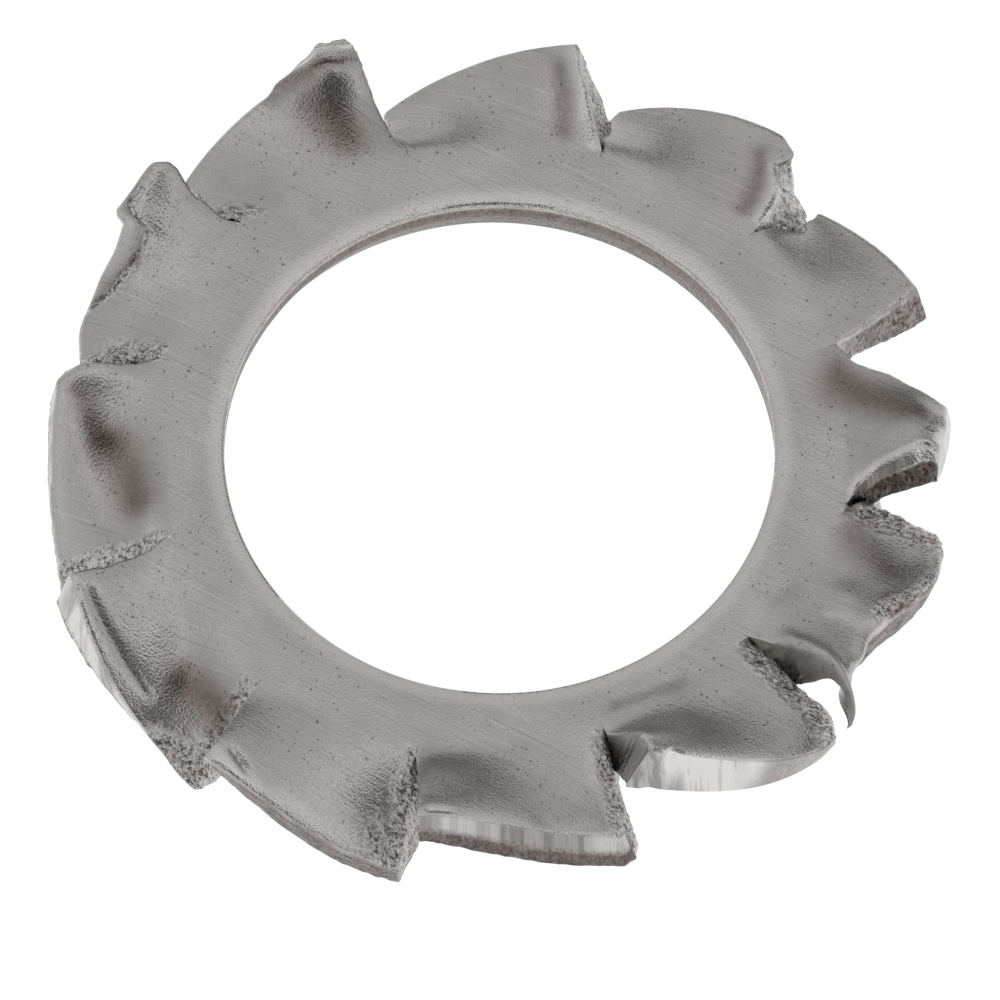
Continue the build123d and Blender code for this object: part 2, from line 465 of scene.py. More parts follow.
# %% Smooth steps and edge shapes
def smooth_step(x):
    """0 below 0, 1 above 1, and a soft rise between."""
    x = min(max(x, 0.0), 1.0)
    return x * x * (3 - 2 * x)


def profile(points, x):
    """A smooth line through a few pairs of place and size."""
    if not points or x <= points[0][0]:
        return points[0][1] if points else 0.0
    for (x0, y0), (x1, y1) in zip(points, points[1:]):
        if x <= x1:
            return y0 + (y1 - y0) * smooth_step((x - x0) / (x1 - x0))
    return points[-1][1]


def round_over(distance, width, depth):
    """How far a rounded edge has dropped at some distance from its rim."""
    inward = min(distance / width, 1.0)
    return depth * (1 - sqrt(1 - (1 - inward) ** 2))


def roll_down(distance, width, depth):
    """How far a drawn-in edge has sunk at some distance from its rim."""
    return depth * max(0.0, 1 - distance / width) ** 2


print("half-way across its width, a drawn-in edge keeps", roll_down(0.5, 1, 1), "of its depth")

# %% [markdown]
# ## The punched hole
#
# Seen down its wall, the hole has a rounded, drawn-in upper rim, then a clean
# band that the punch sheared, then a wider torn part. The tear leans to one
# side, because the punch stood a little off the middle of its die. The ring's
# part of the sheet is moved to this profile, which fades out at the teeth.

# %% Bending the ring's part of the sheet
HOLE_RIM = (0.05, 0.04)     # rounding of the upper rim: width and depth, mm
AT_WALL = 0.001             # nearer to the hole than this, a point is on its wall, mm


def ring_place(flat, deep):
    """Carry a point of the flat sheet to its place in the punched ring."""
    reach = max(flat.length - BORE_R, 0.0)
    dip = roll_down(reach, ROLL_WIDTH, ROLL_DEPTH) + round_over(reach, *HOLE_RIM)
    z = TOP - dip - (SHEET - dip) * deep
    place = flat.normalized() * flat.length + UP * z
    fade = max(0.0, 1 - reach / (ROOT_R - BORE_R)) if deep == 1 or reach < AT_WALL else 0.0
    torn = max(0.0, (TEAR_HEIGHT - TOP - z) / TEAR_HEIGHT) * fade
    place += flat.normalized() * (TEAR_OUT * torn) + around(TEAR_SHIFT, TEAR_SIDE) * torn
    return place


for side in (TEAR_SIDE, TEAR_SIDE + 180):
    lower_rim = ring_place(around(BORE_R, side), 1).length
    print("lower rim of the hole at", side, "degrees:", round(lower_rim, 3), "mm from the axis")

# %% [markdown]
# ## Worn outlines
#
# The teeth have been forced past steel, so their outlines are no longer those
# of the nets. Each is given as a line of pairs, a place and how many
# millimetres the metal stands out there, or is missing below zero. A tip's
# places run from the clockwise side, 0, to the other, 1, and those of the two
# sides run from the root, 0, to the tip, 1.

# %% Outlines
Wear = namedtuple("Wear", "tip cw ccw", defaults=((), (), ()))
WEAR = {
    "A": Wear(tip=((0.0, 0.03), (0.10, 0.08), (0.18, 0.15), (0.27, 0.10), (0.42, 0.07), (0.50, 0.0)),
              cw=((0.3, 0.0), (0.6, -0.02), (1.0, 0.0)),
              ccw=((0.1, 0.0), (0.35, 0.18), (1.0, 0.20))),
    "B": Wear(ccw=((0.1, 0.0), (0.4, 0.14), (1.0, 0.10))),
    "C": Wear(tip=((0.0, -0.10), (0.12, 0.0)),
              cw=((0.1, 0.0), (0.5, 0.06), (0.62, 0.02), (0.78, -0.10), (0.92, 0.06), (1.0, 0.08)),
              ccw=((0.1, 0.0), (0.45, 0.25), (0.8, 0.25), (1.0, 0.12))),
    "E": Wear(cw=((0.03, 0.0), (0.20, -0.18), (0.40, -0.26), (0.75, -0.24), (1.0, -0.14)),
              ccw=((0.03, 0.0), (0.22, -0.10), (0.6, 0.10), (0.85, 0.18), (1.0, 0.13))),
    "F": Wear(tip=((0.0, 0.06), (0.10, 0.02), (0.20, 0.0), (0.30, 0.06), (0.36, 0.02), (0.48, 0.08),
                   (0.56, 0.10), (0.66, 0.19), (0.80, 0.19), (0.92, 0.10), (1.0, 0.02)),
              cw=((0.3, 0.0), (0.7, -0.12), (1.0, -0.05)),
              ccw=((0.0, 0.0), (0.15, 0.12), (0.5, 0.10), (0.9, 0.06), (1.0, 0.0))),
    "G": Wear(tip=((0.0, 0.0), (0.08, 0.02), (0.12, -0.04), (0.20, 0.0), (0.92, 0.0), (1.0, -0.05)),
              cw=((0.1, 0.0), (0.4, -0.12), (1.0, -0.14)),
              ccw=((0.5, 0.0), (0.8, 0.06), (1.0, 0.0))),
    "H": Wear(tip=((0.94, 0.0), (1.0, -0.06)), ccw=((0.9, 0.0), (1.0, -0.05))),
    "J": Wear(tip=((0.8, 0.0), (1.0, 0.08)), ccw=((0.6, 0.0), (1.0, 0.14))),
    "K": Wear(tip=((0.0, -0.08), (0.08, 0.0)), cw=((0.85, 0.0), (1.0, -0.06))),
    "L": Wear(tip=((0.0, -0.02), (0.06, 0.25), (0.16, 0.42), (0.23, 0.47), (0.26, 0.32), (0.30, 0.03),
                   (0.42, 0.0), (0.60, 0.06), (0.80, 0.10), (1.0, 0.02)),
              cw=((0.15, 0.0), (0.5, 0.18), (0.82, 0.42), (1.0, 0.28))),
}
print("worn outlines on teeth", ", ".join(WEAR))

# %% [markdown]
# ## Moving a point to the worn outline
#
# A worn tooth is not cut to its outline. Its whole face is stretched a little
# towards it instead, most at the edge and hardly at the middle, so that the
# faces stay smooth. Two sizes of noise make the sheared sides uneven. Noise
# from mathutils is the same in every run, so nothing has to be seeded.

# %% Stretching a tooth to its outline
TOOTH_LENGTH = 1.25     # from root to tip, mm
TOOTH_WIDTH = 2.3       # from side to side, mm
UNEVEN = ((0.09, 0.5, 0.016), (0.03, 7.5, 0.008))   # grain in mm, pattern, height in mm
APART = 3.1             # keeps the unevenness of one tooth apart from the next
UNEVEN_RATE = 3         # unevenness is full from 1 / 3 of a tooth's length on
STRETCH_START = 0.3     # from here to the tip, a tooth is stretched to its worn tip


def rough(place, size, pattern):
    """Noise from about -1 to 1 with a grain of some size, in mm."""
    return noise.noise(Vector((place[0] / size, place[1] / size, place[2] / size + pattern)))


def worn(name, across, along):
    """The place on the net that a point takes once the outline is worn."""
    wear = WEAR.get(name, Wear())
    line = (along * TOOTH_LENGTH, NAMES.index(name) * APART, 0)
    ragged = sum(rough(line, size, pattern) * height for size, pattern, height in UNEVEN)
    ragged *= smooth_step(along * UNEVEN_RATE)
    tip = profile(wear.tip, across) / TOOTH_LENGTH
    cw = (profile(wear.cw, along) + ragged) / TOOTH_WIDTH
    ccw = (profile(wear.ccw, along) + ragged) / TOOTH_WIDTH
    along += tip * smooth_step((along - STRETCH_START) / (1 - STRETCH_START))
    return across - cw * (1 - across) ** 4 + ccw * across ** 4, along


print("the tip of tooth L is worn outwards to", round(worn("L", 0.23, 1.0)[1], 2), "of its length")

# %% [markdown]
# ## Dents and ridges
#
# Dents, painted shade, scars, and spots that are worn and painted lighter are
# all laid on in the same way, as strokes: a line over the face of a tooth that
# fades out softly beside it, like a stroke of an airbrush. A dent could be
# sculpted by hand, but strokes stay as numbers, so a single one can be moved
# without starting again.

# %% Strokes
# a stroke: across and along where it starts, the same where it ends, its half
# width in mm, and last how strong it is
FADE_RATE = 2.5         # wear has its full strength from 1 / 2.5 of a tooth's length on
FAR = 3                 # half widths away from a stroke, nothing of it is left


def root_fade(along):
    """0 at the root of a tooth, rising to 1."""
    return smooth_step(along * FADE_RATE)


def nearness(across, along, stroke):
    """1 on the line of a stroke, fading to 0 beside it."""
    a0, t0, a1, t1, width = stroke[:5]
    here = Vector((across * TOOTH_WIDTH, along * TOOTH_LENGTH))
    start = Vector((a0 * TOOTH_WIDTH, t0 * TOOTH_LENGTH))
    run = Vector((a1 * TOOTH_WIDTH, t1 * TOOTH_LENGTH)) - start
    share = min(max((here - start).dot(run) / max(run.length_squared, 1e-9), 0.0), 1.0)
    away = (here - start - run * share).length / width
    return exp(-away * away) if away < FAR else 0.0


def strokes(table, name, across, along):
    """All the strokes of a table added up at one point of a tooth."""
    return sum(stroke[-1] * nearness(across, along, stroke) for stroke in table.get(name, ()))


beside = nearness(1 / TOOTH_WIDTH, 0, (0, 0, 0, 1, 1))
print("one half width beside its line, a stroke keeps", round(beside, 2), "of its strength")

# %% Dents, below zero, and ridges, in mm
PRESSED = {
    "A": ((0.04, 0.89, 0.50, 0.95, 0.09, -0.035), (0.08, 0.76, 0.40, 0.82, 0.14, 0.02)),
    "B": ((0.17, 0.22, 0.12, 0.76, 0.12, -0.035), (0.90, 0.0, 1.0, 0.8, 0.6, 0.04)),
    "C": ((0.14, 0.72, 0.12, 0.24, 0.13, -0.035), (0.90, 0.0, 1.0, 0.8, 0.6, 0.05)),
    "D": ((0.90, 0.0, 1.0, 0.8, 0.6, 0.04),),
    "E": ((0.98, 0.32, 0.98, 0.75, 0.45, -0.07),),
    "F": ((0.96, 0.20, 0.80, 0.70, 0.25, -0.06), (0.45, 0.62, 0.40, 1.0, 0.25, 0.06),
          (0.05, 0.35, 0.02, 1.0, 0.12, 0.05), (0.55, 0.88, 0.64, 0.92, 0.10, 0.06)),
    "H": ((0.86, 0.62, 0.62, 0.86, 0.18, -0.03), (0.06, 0.93, 0.16, 0.93, 0.03, -0.03)),
    "I": ((0.80, 0.75, 0.98, 0.70, 0.25, -0.02), (0.10, 0.78, 0.20, 0.86, 0.04, -0.05)),
    "J": ((0.10, 0.90, 0.62, 0.80, 0.05, -0.03), (0.10, 0.35, 0.50, 0.38, 0.45, -0.07),
          (0.72, 0.52, 0.95, 0.46, 0.20, -0.05)),
    "K": ((0.55, 0.32, 0.95, 0.28, 0.32, -0.10), (0.30, 0.80, 0.90, 0.62, 0.20, 0.04)),
    "L": ((0.00, 1.00, 0.25, 1.00, 0.13, 0.10), (0.05, 1.10, 0.60, 1.10, 0.80, -0.16),
          (0.0, 0.45, 0.0, 1.0, 0.60, -0.14)),
}


def pressed(name, across, along):
    """Height of the dents and ridges at one point of a tooth, in mm."""
    return strokes(PRESSED, name, across, along) * root_fade(along)


print(sum(len(row) for row in PRESSED.values()), "dents and ridges")

# %% [markdown]
# ## Torn skin
#
# Beside the torn edge of each tooth the upper face is ragged too, where the
# neighbour was ripped off it, and a few scars cross the faces. Both are places
# where the metal is rough in form and in finish, so one value drives the two.

# %% Scars
# rough strokes over the upper face, with no strength of their own
SCARS = {
    "A": ((0.97, 0.35, 0.90, 0.10, 0.09),),
    "E": ((0.35, 0.86, 0.75, 0.98, 0.05),),
    "F": ((0.50, 0.88, 0.78, 0.98, 0.09),),
    "I": ((0.90, 0.80, 1.00, 0.92, 0.16),),
    "J": ((0.80, 0.98, 1.00, 0.80, 0.14),),
    "L": ((0.16, 0.78, 0.40, 0.72, 0.03), (0.40, 0.72, 0.62, 0.80, 0.045), (0.62, 0.80, 0.72, 0.98, 0.03),
          (0.97, 0.14, 0.95, 0.62, 0.12)),
}
STRIP_EDGE = 1.4        # widths of the strip at which it has faded out
STRIP_RATE = 4          # the strip is full from 1 / 4 of a tooth's length on
SCAR_EDGE = 1.6         # a scar's strength on its line, cut off at 1 for a sharper end


def scarred(name, across, along):
    """How rough the upper face is, from 0 to 1."""
    width = EDGES[name].strip[0]
    strip = smooth_step(STRIP_EDGE - (1 - across) * TOOTH_WIDTH / width) * smooth_step(along * STRIP_RATE)
    scars = [min(1.0, SCAR_EDGE * nearness(across, along, scar)) for scar in SCARS.get(name, ())]
    return max([strip] + scars)


print("roughness beside the torn edge of tooth F:", round(scarred("F", 0.97, 0.5), 2))

# %% [markdown]
# ## The upper face of a tooth
#
# The upper face drops along its rims: a wide drawn-in edge on the clockwise
# side, where the blade pressed, and a small rounding on all three. Torn skin
# lies a little lower and is lumpy. The result is one depth below the net.

# %% Depth of the edges and the torn skin
CW_RIM = (0.06, 0.03)       # rounding of the clockwise rim: width and depth, mm
OTHER_RIM = (0.05, 0.03)    # rounding of the other rims
SKIN_DEPTH = 0.02           # how deep torn skin lies, mm
SKIN_LUMPS = ((0.10, 2.0, 0.045), (0.04, 5.0, 0.025))   # grain in mm, pattern, height in mm


def sunk(name, across, along, place):
    """How far the edges and the torn skin lie below the upper net, in mm."""
    edges = EDGES[name]
    from_cw, from_ccw = across * TOOTH_WIDTH, (1 - across) * TOOTH_WIDTH
    from_tip = (1 - along) * TOOTH_LENGTH
    drop = roll_down(from_cw, *edges.cw_roll) + round_over(from_cw, *CW_RIM)
    drop = (drop + round_over(from_ccw, *OTHER_RIM)) * root_fade(along)
    drop += roll_down(from_tip, *edges.tip_roll) + round_over(from_tip, *OTHER_RIM)
    scar = scarred(name, across, along)
    if scar > 0.01:
        own = NAMES.index(name)
        lumps = sum(rough(place, size, own + pattern) * height for size, pattern, height in SKIN_LUMPS)
        drop += scar * (SKIN_DEPTH - lumps) + edges.strip[1] * max(0.0, 1 - from_ccw / edges.strip[0])
    return drop


print("the outer edge of tooth E sinks", round(sunk("E", 0.5, 1.0, UP), 2), "mm")

# %% [markdown]
# ## The lower face of a tooth
#
# Nobody sees much of the lower face, but it has to meet the walls well. It
# follows the dents of the upper face more weakly, and its rims are rounded.
# At the root the other side's wall leans out early, and the thin spur of
# tooth F loses most of its thickness.

# %% Shifts of the lower face
LOWER_RIM = (0.04, 0.03)    # rounding of the lower rims: width and depth, mm
DENT_THROUGH = 0.6          # share of a dent that shows on the lower face
SPUR_THIN = 0.85            # share of its thickness that the spur loses
SPUR_START, SPUR_RUN = 0.35, 0.5    # where along the tooth this begins, and over how much
SPUR_WIDTH = 0.35           # how far across the tooth it goes
LEAN_FROM, LEAN_SLOPE = 0.9, 10     # where across the tooth the early lean starts, its slope
LEAN_RISE, LEAN_END, LEAN_FALL = 0.12, 0.4, 0.45    # where along it is full, cut and gone


def lower_lift(name, across, along):
    """How far the lower face is raised by dents and rounded rims, in mm."""
    from_side = min(across, 1 - across) * TOOTH_WIDTH
    rounded = round_over(from_side, *LOWER_RIM) * root_fade(along)
    return pressed(name, across, along) * DENT_THROUGH + rounded


def early_lean(name, across, along, t):
    """Shift of the lower face at the root, where the side wall leans out early."""
    if across <= LEAN_FROM or along >= LEAN_END:
        return Vector((0, 0, 0))
    upper = NETS[name][0]
    early = (smooth_step(along / LEAN_RISE) - smooth_step(along / LEAN_FALL)) * EDGES[name].out[0]
    side = (on_net(upper, 1.0, t) - on_net(upper, 0.9, t)).normalized()
    return side * (early * (across - LEAN_FROM) * LEAN_SLOPE)


def thinned(name, across, along):
    """Share of the thickness that is missing, on the spur of tooth F only."""
    if name != "F":
        return 0.0
    return SPUR_THIN * smooth_step((along - SPUR_START) / SPUR_RUN) * smooth_step(1 - across / SPUR_WIDTH)


print("the spur keeps", round(1 - thinned("F", 0, 1), 2), "of its thickness")

# %% [markdown]
# ## The walls of a tooth
#
# A sheared wall is burnished where the blade rubbed it and torn where the
# metal gave way. On the clockwise and outer walls the tear is at the bottom.
# On the other side the neighbour was pushed down, so there it is at the top.
# Torn metal is pushed in and out by noise of two sizes, along the wall's own
# outward direction.

# %% Torn walls
WALLS = ("cw", "tip", "ccw")
FORM_TEAR = (0.10, 0.80)    # in form: how softly a tear starts, where the top tear ends
LOOK_TEAR = (0.08, 0.90)    # the same for the finish, in sheets
TIP_TEAR = 0.45             # the outer wall is torn less deeply
WALL_LUMPS = ((0.11, 5.0, 0.035), (0.035, 9.0, 0.02))   # grain in mm, pattern, height in mm


def wall_of(across, along):
    """The wall on which a point of a tooth lies, or nothing."""
    if across == 0.0:
        return "cw"
    if across == 1.0:
        return "ccw"
    return "tip" if along == 1.0 else ""


def torn_share(name, wall, deep, soft, top_end):
    """How torn a wall is at some depth: 0 is burnished, 1 is torn."""
    if wall == "ccw":
        return smooth_step((top_end - deep) / soft)
    start = EDGES[name].cw_break if wall == "cw" else EDGES[name].tip_break
    return smooth_step((deep - start) / soft)


def wall_out(name, wall, a, t):
    """Direction out of a wall, taken from two points of the upper net."""
    upper = NETS[name][0]
    if wall == "cw":
        return (on_net(upper, 0.02, t) - on_net(upper, 0.10, t)).normalized()
    if wall == "ccw":
        return (on_net(upper, 0.98, t) - on_net(upper, 0.90, t)).normalized()
    return (on_net(upper, a, 1.0) - on_net(upper, a, 0.9)).normalized()


def wall_lumps(name, wall, along, deep, place):
    """How far torn metal stands out of a wall at one point, in mm."""
    own = NAMES.index(name)
    lumps = sum(rough(place, size, own * pattern) * height for size, pattern, height in WALL_LUMPS)
    share = root_fade(along) * (TIP_TEAR if along == 1.0 else 1.0)
    return torn_share(name, wall, deep, *FORM_TEAR) * share * lumps


print("half-way down its clockwise wall, tooth A is torn", torn_share("A", "cw", 0.5, *FORM_TEAR))

# %% [markdown]
# ## Where each point of a tooth goes
#
# Now the parts come together. The point's place on the worn outline is found
# on the two nets, both faces get their wear, and the point takes its share of
# the way from the upper face to the lower one. Only a wall's points move out.

# %% Bending a point of a tooth
def tooth_place(name, across, along, deep):
    """Carry a point of the flat sheet to its place in the bent, worn tooth."""
    upper, lower = NETS[name]
    a, t = worn(name, across, along)
    top, under = on_net(upper, a, t), on_net(lower, a, t)
    normal = (top - under).normalized()
    top = top + normal * (pressed(name, across, along) - sunk(name, across, along, top))
    under = under + normal * lower_lift(name, across, along) + early_lean(name, across, along, t)
    under = under.lerp(top, thinned(name, across, along))
    place = top.lerp(under, deep)
    wall = wall_of(across, along)
    if wall and deep > 0:
        place += wall_out(name, wall, a, t) * wall_lumps(name, wall, along, deep, place)
    return place


print("middle of tooth A's tip:", [round(value, 2) for value in tooth_place("A", 0.5, 1.0, 0.0)], "mm")

# %% [markdown]
# ## Painted shade and darker outer faces
#
# Dark patches are painted in the hollows and creases of some teeth, and where
# their faces would mirror the dark middle of the studio: painted shade, with a
# dark line along the scar of tooth L. Some outer faces are painted darker too.
# They have no depth, so they are only marked here and painted later by the
# finish. Strokes place them on the upper faces. On an outer face the darkening
# runs from one place across the tooth to another.

# %% Painted shade
# painted shade: dark strokes in hollows, in creases and where faces would mirror the dark middle of the
# studio; two on tooth L also darken its scar line
PAINTED_SHADE = {
    "A": ((0.03, 0.90, 0.50, 0.97, 0.08, 0.5), (0.24, 0.44, 0.28, 0.62, 0.34, 0.80)),
    "B": ((0.18, 0.28, 0.12, 0.80, 0.11, 0.60), (0.93, 0.50, 0.97, 0.20, 0.20, 0.25)),
    "C": ((0.14, 0.74, 0.13, 0.24, 0.14, 0.60),),
    "E": ((0.78, 0.06, 0.66, 0.66, 0.44, 0.85),),
    "G": ((0.12, -0.28, 0.50, 0.02, 0.15, 0.50),),
    "H": ((0.06, 0.0, 0.28, 0.20, 0.12, 0.25),),
    "F": ((0.84, 0.26, 0.70, 0.66, 0.24, 0.55), (0.53, 0.97, 0.62, 0.99, 0.05, 0.80),
          (0.27, 0.0, 0.35, 0.15, 0.15, 0.2)),
    "I": ((0.80, 0.70, 0.98, 0.68, 0.16, 0.25),),
    "J": ((0.66, 0.55, 0.90, 0.46, 0.20, 0.85), (0.10, 0.88, 0.60, 0.80, 0.035, 0.45)),
    "K": ((0.14, 0.82, 0.40, 0.62, 0.12, 0.65), (0.44, 0.50, 0.74, 0.36, 0.24, 0.80)),
    "L": ((0.13, 0.86, 0.45, 0.76, 0.05, 0.4), (0.45, 0.76, 0.70, 0.94, 0.05, 0.4),
          (0.02, 0.95, 0.12, 0.98, 0.14, 0.3)),
}
# darker outer faces: from one place across the tooth, to another, how dark
DARKER_OUTER_FACES = {"G": (0.55, 1.05, 0.70), "H": (-0.2, 1.2, 0.25), "I": (0.10, 1.05, 0.50), "J": (0.02, 0.16, 0.30)}
NO_DARKENING = (0.0, 1.0, 0.0)
DARKENING_EDGE = 8           # how sharply the darkening of an outer face ends
print("films on the upper faces of", len(PAINTED_SHADE), "teeth and the outer faces of", len(DARKER_OUTER_FACES))

# %% [markdown]
# ## Burnished spots and painted highlights
#
# Where a tooth rubbed against a nut or a screw's head, its high places are
# worn bright. Other spots are painted highlights: light bands along some tips
# and glossy patches on some faces. These spots are strokes too, and they
# lighten the finish.

# %% Bright spots: worn and painted highlights
# worn spots and painted highlights: strokes that lighten the finish
HIGHLIGHTS_AND_WEAR = {
    "A": ((0.10, 0.97, 0.30, 1.0, 0.06, 1.0),),
    "B": ((0.04, 0.10, 0.03, 0.95, 0.08, 1.0),),
    "C": ((0.04, 0.20, 0.04, 0.70, 0.08, 0.8),),
    "E": ((0.20, 0.92, 0.62, 0.92, 0.13, 2.0), (0.06, 0.10, 0.06, 0.80, 0.10, 1.2)),
    "F": ((0.42, 0.95, 0.62, 0.90, 0.09, 2.0), (0.30, 0.55, 0.36, 0.85, 0.06, 1.0),
          (0.98, 0.60, 0.98, 0.95, 0.08, 1.0)),
    "G": ((0.05, 0.90, 0.60, 0.96, 0.10, 0.8),),
    "H": ((0.02, 0.96, 0.95, 0.92, 0.10, 0.8),),
    "I": ((0.02, 0.88, 0.28, 0.95, 0.10, 1.2), (0.40, 0.92, 0.90, 0.88, 0.12, 0.8)),
    "J": ((0.04, 1.00, 0.70, 0.96, 0.06, 1.0), (0.40, 0.62, 0.62, 0.68, 0.10, 0.8)),
    "K": ((0.20, 1.00, 0.95, 0.92, 0.16, 0.6),),
    "L": ((0.50, 0.95, 0.30, 0.92, 0.10, 0.8),),
}
RIM_SHINE = 1.6         # how much lighter the hole's rim is painted, and the most that a spot can have


def shine_of(name, across, along, flat):
    """How much lighter the upper face is painted, as wear and as highlight on a tooth, and in a band at the
    hole's rim.
    """
    if along > 0:
        return min(RIM_SHINE, strokes(HIGHLIGHTS_AND_WEAR, name, across, along))
    reach = flat.length - BORE_R
    return smooth_step(RIM_SHINE - RIM_SHINE * reach / ROLL_WIDTH)


print("shine at the hole's rim:", shine_of("A", 0.5, -1, around(BORE_R, 0)))

# %% [markdown]
# ## Marks for the finish
#
# Beside its shine, which is worn metal and painted highlight both, every point
# of the skin is marked with three values, which the finish reads as attributes:
# how torn the metal is, how dark it is painted, with stains and painted shade,
# and how much it is a sheared wall. A mask painted by hand would do the same,
# but these marks come from the values that shaped the metal, so they fit.

# %% Marks in the hole and on the upper faces
SCAR_STAIN = 0.15       # how dark torn skin is
HOLE_DARKNESS = 0.95        # how dark the wall of the hole is
HOLE_SHEAR = 0.5        # how much of a sheared wall it is
HOLE_TORN, HOLE_MORE = 0.15, 0.5    # how torn its clean band is, and how much more the rest
TEAR_START, TEAR_SOFT = 0.3, 0.2    # how deep that begins, and over how much, in sheets
HOLE_DARK_SOFT = 0.06        # over how much of the depth its darkening begins


def hole_marks(deep):
    """Torn, darkened and sheared, on the wall of the hole."""
    torn = HOLE_TORN + HOLE_MORE * smooth_step((deep - TEAR_START) / TEAR_SOFT)
    return torn, HOLE_DARKNESS * smooth_step(deep / HOLE_DARK_SOFT), HOLE_SHEAR


def face_marks(name, across, along):
    """The same on the upper face."""
    # painted shade from the dark strokes, and torn skin a little darker
    shade_and_stain_share = strokes(PAINTED_SHADE, name, across, along)
    if along <= 0:
        return 0.0, shade_and_stain_share, 0.0
    scar = scarred(name, across, along)
    return scar, min(1.0, scar * SCAR_STAIN + shade_and_stain_share), 0.0


print("torn, stained, sheared at the foot of the hole's wall:", hole_marks(1.0))

# %% Marks on the walls, and everywhere
WALL_DARK_ON_CLEAN = 0.1     # share of a wall's darkening that its burnished part has
SMOOTH_WALLS = "FG"     # teeth whose clockwise wall is smooth
SMOOTH_SHEAR = 0.4      # how much of a sheared wall such a smooth one is


def wall_marks(name, across, along, deep):
    """The same on the walls of a tooth."""
    wall = wall_of(across, along)
    torn = torn_share(name, wall, deep, *LOOK_TEAR)
    shade_and_stain_share = EDGES[name].dark[WALLS.index(wall)] * max(torn, WALL_DARK_ON_CLEAN)
    if along == 1.0:
        start, end, strength = DARKER_OUTER_FACES.get(name, NO_DARKENING)
        shade_and_stain_share += strength * smooth_step((across - start) * DARKENING_EDGE) * smooth_step((end - across) * DARKENING_EDGE)
    sheared = SMOOTH_SHEAR if wall == "cw" and name in SMOOTH_WALLS else 1.0
    return torn * root_fade(along), min(1.0, shade_and_stain_share) * root_fade(along), sheared


def all_marks(name, across, along, deep):
    """Torn, darkened by painted shade and stains, and sheared at any point. The lower face stays plain."""
    if along <= -1 + TINY:
        return hole_marks(deep)
    if along > 0 and wall_of(across, along):
        return wall_marks(name, across, along, deep)
    return face_marks(name, across, along) if deep == 0 else (0.0, 0.0, 0.0)


print("torn, stained, sheared at the foot of tooth G's outer wall:", all_marks("G", 0.8, 1.0, 1.0))

# %% [markdown]
# ## Bending the blank
#
# All points of the blank are now carried to their places and marked. A slow
# wave is added over the whole washer, because rolled strip is never quite
# flat, and it lets the light play a little on the ring.

# %% Bending every point
WAVES = ((0.9, 3.0, 0.012), (0.3, 4.0, 0.0015))    # grain in mm, pattern, height in mm


def bend_point(vert):
    """Carry one point of the blank to its bent and worn place, and mark it."""
    across, along, deep = (vert[tags[word]] for word in ("across", "along", "deep"))
    name = NAMES[vert[tooth_tag]]
    flat = Vector((vert.co.x, vert.co.y, 0))
    if along <= 0 or deep == 0:
        vert[tags["rim"]] = shine_of(name, across, along, flat)
    vert[tags["torn"]], vert[tags["shade_and_stain"]], vert[tags["wall"]] = all_marks(name, across, along, deep)
    vert.co = ring_place(flat, deep) if along <= 0 else tooth_place(name, across, along, deep)
    vert.co.z += sum(rough(vert.co, size, pattern) * height for size, pattern, height in WAVES)


for vert in bm.verts:
    bend_point(vert)
print("bent", len(bm.verts), "points")

# %% [markdown]
# ## The finished mesh
#
# The mesh has been shaped in millimetres, and Blender works in metres, so the
# points are scaled and the object itself stays unscaled at the origin. Faces
# are shaded smooth, and only edges sharper than 40 degrees stay hard. The
# piece rides on the washer's one body and stands for its one plain solid.

# %% The washer
CREASE = radians(40)


def finished_piece(bm):
    """The bent blank as an object, in metres."""
    bmesh.ops.recalc_face_normals(bm, faces=bm.faces[:])
    bmesh.ops.scale(bm, vec=(MM, MM, MM), verts=bm.verts[:])
    print("volume:", round(bm.calc_volume() / MM ** 3, 1), "cubic mm")
    mesh = bpy.data.meshes.new("washer")
    bm.to_mesh(mesh)
    bm.free()
    for face in mesh.polygons:
        face.use_smooth = True
    mesh.set_sharp_from_angle(angle=CREASE)
    return bpy.data.objects.new("washer", mesh)


washer = finished_piece(bm)
bpy.context.collection.objects.link(washer)
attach(washer, "root")
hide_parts("lock_washer")
print("washer:", len(washer.data.polygons), "faces")

# %% [markdown]
# ## A helper for shader nodes
#
# A finish is a tree of nodes. In the editor they are added and wired by hand.
# In a script, a small helper that adds a node, sets it and wires its inputs
# keeps one node to one line. An input gets either a socket, which is linked,
# or a plain value, which is set on the node itself.

